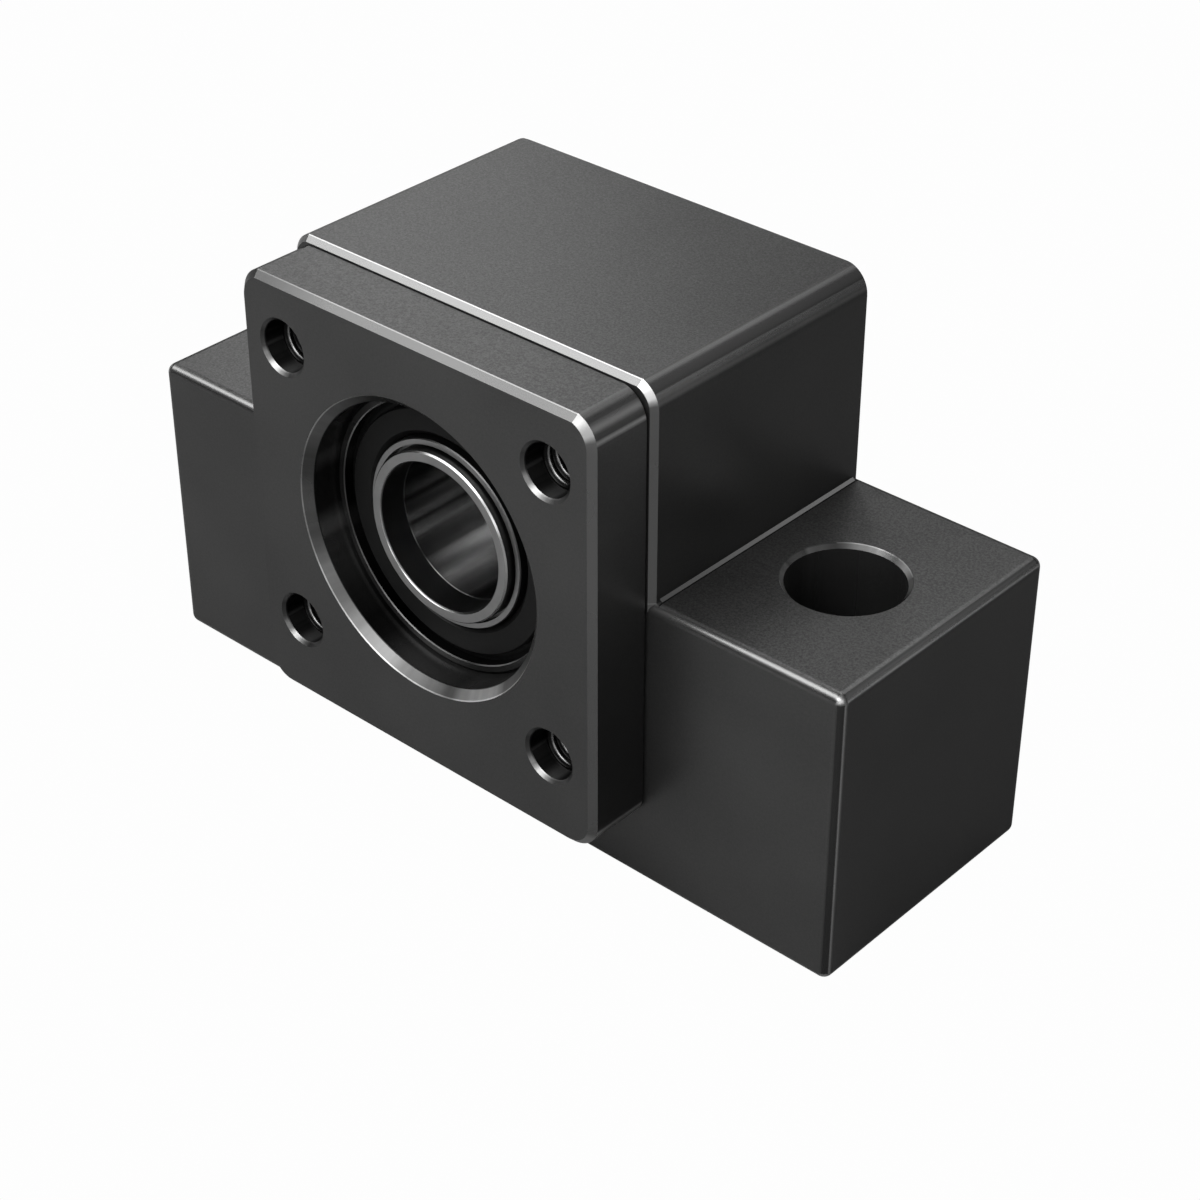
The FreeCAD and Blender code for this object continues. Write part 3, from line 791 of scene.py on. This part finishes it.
def meshFromGrid(name, grid, material):
    # closed tube with capped ends from rings of points: grid is (rings, points in a ring, 3) in millimetres
    rings, across = grid.shape[:2]
    ring, point = np.meshgrid(np.arange(rings - 1), np.arange(across), indexing="ij")
    after = (point + 1) % across
    quads = np.stack([
        ring * across + point,
        ring * across + after,
        (ring + 1) * across + after,
        (ring + 1) * across + point,
    ], axis=-1).reshape(-1, 4)
    startCap = np.arange(across)[::-1].tolist()
    endCap = ((rings - 1) * across + np.arange(across)).tolist()
    mesh = bpy.data.meshes.new(name)
    mesh.from_pydata((grid.reshape(-1, 3) * mm).tolist(), [], quads.tolist() + [startCap, endCap])
    mesh.shade_smooth()
    mesh.set_sharp_from_angle(angle=thread["sharpFrom"])
    mesh.materials.append(material)
    piece = bpy.data.objects.new(name, mesh)
    bpy.context.scene.collection.objects.link(piece)
    return piece


def threadRidge(name, centreX, centreZ, startY, endY, phase):
    # right-hand helix: the angle falls by a turn for each pitch gained in y. The ridge's section is one hump
    # of a raised cosine, carried along the helix, and its height rises and falls smoothly at the two ends
    turns = (endY - startY - thread["rootWidth"]) / thread["pitch"]
    steps = int(turns * thread["stepsPerTurn"]) + 1
    turn = np.linspace(0.0, turns, steps)[:, None]
    lead = np.clip(np.minimum(turn, turns - turn) / thread["leadTurns"], thread["leadFloor"], 1.0)
    rise = lead * lead * (3 - 2 * lead)
    across = np.linspace(-0.5, 0.5, thread["sectionSteps"] + 1)
    hump = 0.5 + 0.5 * np.cos(2 * np.pi * across)
    hump = np.concatenate([[0.0], hump, [0.0]])[None, :]
    across = np.concatenate([[-0.5], across, [0.5]])[None, :]
    bed = np.zeros_like(hump)
    bed[0, [0, -1]] = thread["bedding"]
    depth = thread["wallRadius"] - thread["crestRadius"]
    radius = thread["wallRadius"] + bed - depth * hump * rise
    y = startY + thread["rootWidth"] * (0.5 + across) + turn * thread["pitch"]
    angle = phase - turn * 2 * np.pi
    grid = np.stack([
        centreX + radius * np.cos(angle),
        y + np.zeros_like(radius),
        centreZ + radius * np.sin(angle),
    ], axis=-1)
    return meshFromGrid(name, grid, threadMaterial)


corners = {
    "x": lidHoles["spacing_x_mm"] / 2,
    "rise": lidHoles["spacing_y_mm"] / 2,
    "entryDepth": 1.6,                  # plain stretch before the thread
    "seam": -12.0,                      # where the lid ends and the housing begins
    "threadEnd": -2.6,
    "phase": math.radians(-20),
}
threadStart = lidFront + corners["entryDepth"]
for side, sideName in ((-1, "left"), (1, "right")):
    for level, levelName in ((-1, "lower"), (1, "upper")):
        centreX = side * corners["x"]
        centreZ = shaftHeight + level * corners["rise"]
        inLid = threadRidge(f"lid_thread_{levelName}_{sideName}", centreX, centreZ,
                            threadStart, corners["seam"], corners["phase"])
        inHousing = threadRidge(f"housing_thread_{levelName}_{sideName}", centreX, centreZ,
                                corners["seam"], corners["threadEnd"], corners["phase"])
        for piece in (inLid, inHousing):
            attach(piece, "housing")
print("thread turns made")


# Floor and surroundings: the camera sees white, and the part reflects the tones below, with a painted shadow
# and a painted pool of light

surroundings = {
    "seenWhite": (0.985, 0.985, 0.985, 1.0),
    "sky": (0.0, 0.0, 0.0, 1.0),
    "floor": (0.27, 0.27, 0.27),
    "floorReach": 3.0,
    "floorLevel": -0.00005,
    "rearRange": (0.01, 0.06),      # painted shadow: the floor is darker behind the part on the right
    "rearTone": 0.68,
    "frontRange": (0.03, 0.08),     # and a painted pool of light brightens it in front of the part on the right
    "frontTone": 1.45,
}


def seenOrReflected(tree, seen, reflected):
    # the first shader for the camera, the second for every other ray
    isSeen = addNode(tree, "ShaderNodeLightPath").outputs["Is Camera Ray"]
    mix = addNode(tree, "ShaderNodeMixShader", {0: isSeen, 1: reflected.outputs[0], 2: seen.outputs[0]})
    return mix.outputs[0]


def makeFloorMaterial():
    # painted shadow and light: the tone changes along the two diagonals, (x + y) / root 2 and (x - y) / root
    # 2
    material = bpy.data.materials.new("paleFloor")
    material.use_nodes = True
    tree = material.node_tree
    tree.nodes.clear()
    output = tree.nodes.new("ShaderNodeOutputMaterial")
    x, y = separate(tree, addNode(tree, "ShaderNodeTexCoord").outputs["Object"])[:2]
    toRear = product(tree, mathNode(tree, "ADD", x, y), math.sqrt(0.5))
    toFront = product(tree, mathNode(tree, "SUBTRACT", x, y), math.sqrt(0.5))
    gain = product(tree, ramp(tree, toRear, surroundings["rearRange"], (1.0, surroundings["rearTone"])),
                   ramp(tree, toFront, surroundings["frontRange"], (1.0, surroundings["frontTone"])))
    tone = addNode(tree, "ShaderNodeBsdfDiffuse", {"Color": scaleColour(tree, surroundings["floor"], gain)})
    white = addNode(tree, "ShaderNodeEmission", {"Color": surroundings["seenWhite"]})
    tree.links.new(seenOrReflected(tree, white, tone), output.inputs["Surface"])
    return material


def makeFloor():
    # a wide square just under the base
    mesh = bpy.data.meshes.new("floor")
    reach, level = surroundings["floorReach"], surroundings["floorLevel"]
    rim = [(-reach, -reach, level), (reach, -reach, level), (reach, reach, level), (-reach, reach, level)]
    mesh.from_pydata(rim, [], [(0, 1, 2, 3)])
    mesh.materials.append(makeFloorMaterial())
    floor = bpy.data.objects.new("floor", mesh)
    bpy.context.scene.collection.objects.link(floor)


def makeWorld():
    # white for the camera, the sky's tone for every other ray
    world = bpy.data.worlds.new("studio")
    bpy.context.scene.world = world
    world.use_nodes = True
    tree = world.node_tree
    tree.nodes.clear()
    output = tree.nodes.new("ShaderNodeOutputWorld")
    white = addNode(tree, "ShaderNodeBackground", {"Color": surroundings["seenWhite"]})
    sky = addNode(tree, "ShaderNodeBackground", {"Color": surroundings["sky"]})
    tree.links.new(seenOrReflected(tree, white, sky), output.inputs["Surface"])


makeFloor()
makeWorld()
print("floor and surroundings made")


# Softboxes: azimuth 0 is in front of the lid and grows towards +X, in degrees; sizes in metres

softboxes = {
    "keyBox": {"azimuth": -28, "elevation": 50, "width": 0.80, "height": 0.28, "power": 3.15},
    "highKeyBox": {"azimuth": -28, "elevation": 62, "width": 0.80, "height": 0.28, "power": 0.32},
    "lowKeyBox": {"azimuth": -45, "elevation": 35, "width": 0.35, "height": 0.28, "power": 0.10},
    "frontBox": {"azimuth": 5, "elevation": 42, "width": 0.35, "height": 0.28, "power": 0.57},
    "topBox": {"azimuth": -130, "elevation": 31, "width": 0.15, "height": 0.15, "power": 0.21},
    "rearBox": {"azimuth": -170, "elevation": 55, "width": 0.35, "height": 0.28, "power": 0.72},
    "sideRearBox": {"azimuth": 140, "elevation": 35, "width": 0.35, "height": 0.28, "power": 0.22},
    "fillBox": {"azimuth": 50, "elevation": 25, "width": 0.40, "height": 0.30, "power": 0.68},
    "lowFillBox": {"azimuth": 25, "elevation": 10, "width": 0.40, "height": 0.15, "power": 0.27},
    "sparkBox": {"azimuth": 38, "elevation": 42, "width": 0.12, "height": 0.12, "power": 0.16},
}
lightDistance = 0.55
lightTarget = Vector((0.0, 0.0, 0.022))


def aimed(place, target):
    # rotation that turns the -Z axis from the place to the target
    return (target - place).to_track_quat("-Z", "Y")


def makeSoftbox(name, box):
    # direction from the target: (sin azimuth x cos elevation, -cos azimuth x cos elevation, sin elevation)
    azimuth = math.radians(box["azimuth"])
    elevation = math.radians(box["elevation"])
    direction = Vector((
        math.sin(azimuth) * math.cos(elevation),
        -math.cos(azimuth) * math.cos(elevation),
        math.sin(elevation),
    ))
    lamp = bpy.data.lights.new(name, "AREA")
    lamp.shape = "RECTANGLE"
    lamp.size = box["width"]
    lamp.size_y = box["height"]
    lamp.energy = box["power"]
    light = bpy.data.objects.new(name, lamp)
    light.location = lightTarget + direction * lightDistance
    light.rotation_mode = "QUATERNION"
    light.rotation_quaternion = aimed(light.location, lightTarget)
    light.visible_camera = False
    bpy.context.scene.collection.objects.link(light)


for name, box in softboxes.items():
    makeSoftbox(name, box)
print("lights placed")


# Camera at the photograph's angle

cameraView = {
    "place": Vector((0.12004, -0.13079, 0.13104)),
    "lookAt": Vector((0.00334, -0.00126, 0.01398)),
    "lens": 80.11,
    "sensor": 36.0,
    "clip": (0.01, 10.0),
}


def makeCamera():
    # the camera at its place, turned to its aim
    data = bpy.data.cameras.new("photoCamera")
    data.lens = cameraView["lens"]
    data.sensor_width = cameraView["sensor"]
    data.clip_start, data.clip_end = cameraView["clip"]
    camera = bpy.data.objects.new("photoCamera", data)
    camera.location = cameraView["place"]
    camera.rotation_mode = "QUATERNION"
    camera.rotation_quaternion = aimed(cameraView["place"], cameraView["lookAt"])
    bpy.context.scene.collection.objects.link(camera)
    bpy.context.scene.camera = camera


makeCamera()
bpy.context.scene.view_settings.view_transform = "Standard"
print("camera set")
